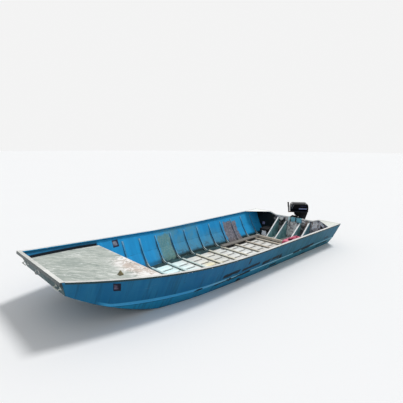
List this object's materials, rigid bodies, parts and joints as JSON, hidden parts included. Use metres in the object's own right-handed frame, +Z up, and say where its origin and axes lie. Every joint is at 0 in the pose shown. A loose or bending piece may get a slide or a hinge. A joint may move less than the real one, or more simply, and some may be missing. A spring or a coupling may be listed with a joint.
{
  "type": "jon boat",
  "caption": "Flat-bottomed aluminium jon boat with ribbed open hull, fore deck, gunwale rails and a tilting, tiller-steered outboard motor.",
  "frame": {"origin": "amidships on the centreline, on the waterline plane", "axes": "+X to the bow, +Y to port, +Z up"},
  "size_m": [5.5654, 2.0266, 1.1361],
  "materials": {
    "hull_paint": "weathered teal-blue enamel over aluminium",
    "inner_paint": "azure enamel on the inner sides, worn on the floor",
    "rail_metal": "worn pale grey extrusion, dull",
    "floor_metal": "bare scuffed aluminium",
    "deck_sheet": "weathered grey painted plywood",
    "board_wood": "grey-brown weathered board",
    "knee_paint": "teal enamel with pale worn edges",
    "pad_paint": "light blue enamel",
    "fitting_metal": "galvanised steel fittings",
    "cowl_gloss": "black gloss cover",
    "motor_paint": "black enamel on cast aluminium",
    "black_plastic": "matt black plastic",
    "grip_rubber": "brown-black moulded grip",
    "tank_red": "sun-faded red plastic",
    "propeller_metal": "grey cast aluminium",
    "wedge_wood": "brown-olive wood"
  },
  "bodies": {
    "hull": {"hull_bottom": "floor_metal", "side_port": "hull_paint", "side_starboard": "hull_paint", "transom": "hull_paint", "transom_cap": "rail_metal", "bow_plate": "hull_paint", "gunwale_port": "rail_metal", "gunwale_starboard": "rail_metal", "bow_cap": "rail_metal", "fore_deck": "deck_sheet", "deck_ledgers": "inner_paint", "deck_beam": "inner_paint", "rib_legs_port": "inner_paint", "rib_legs_starboard": "inner_paint", "floor_ribs": "floor_metal", "cross_member": "floor_metal", "transom_knees": "knee_paint", "motor_pad": "pad_paint", "corner_plate_port": "rail_metal", "corner_plate_starboard": "rail_metal", "bow_handles": "rail_metal", "bow_eye": "fitting_metal", "side_floorboard": "board_wood", "battery_box": "black_plastic", "battery_lid": "black_plastic", "fuel_tank": "tank_red", "fuel_cap": "black_plastic", "tank_handle": "tank_red", "deck_wedge": "wedge_wood", "clamp_bracket": "motor_paint", "clamp_screws": "fitting_metal", "tilt_tube": "fitting_metal"},
    "tilt_unit": {"swivel_bracket": "motor_paint"},
    "motor": {"motor_leg": "motor_paint", "steering_pivot": "motor_paint", "cowl_base": "black_plastic", "motor_cowl": "cowl_gloss", "gearcase": "motor_paint", "tiller_bracket": "motor_paint"},
    "propeller": {"propeller": "propeller_metal"},
    "tiller": {"tiller_arm": "motor_paint", "tiller_grip": "grip_rubber"}
  },
  "joints": [
    {"name": "motor_tilt", "type": "hinge", "parent": "hull", "child": "tilt_unit", "pos_m": [-2.63133, 0, 0.399], "axis": [0, 1, 0], "range_deg": [0, 65]},
    {"name": "motor_steering", "type": "hinge", "parent": "tilt_unit", "child": "motor", "pos_m": [-2.70433, 0, 0.285], "axis": [0, 0, 1], "range_deg": [0, 100]},
    {"name": "propeller_spin", "type": "hinge", "parent": "motor", "child": "propeller", "pos_m": [-2.82453, 0.14325, -0.282], "axis": [0.6428, -0.766, 0], "continuous": true},
    {"name": "tiller_fold", "type": "hinge", "parent": "motor", "child": "tiller", "pos_m": [-2.5912, -0.13482, 0.49], "axis": [-0.766, -0.6428, 0], "range_deg": [-96, 0]}
  ]
}
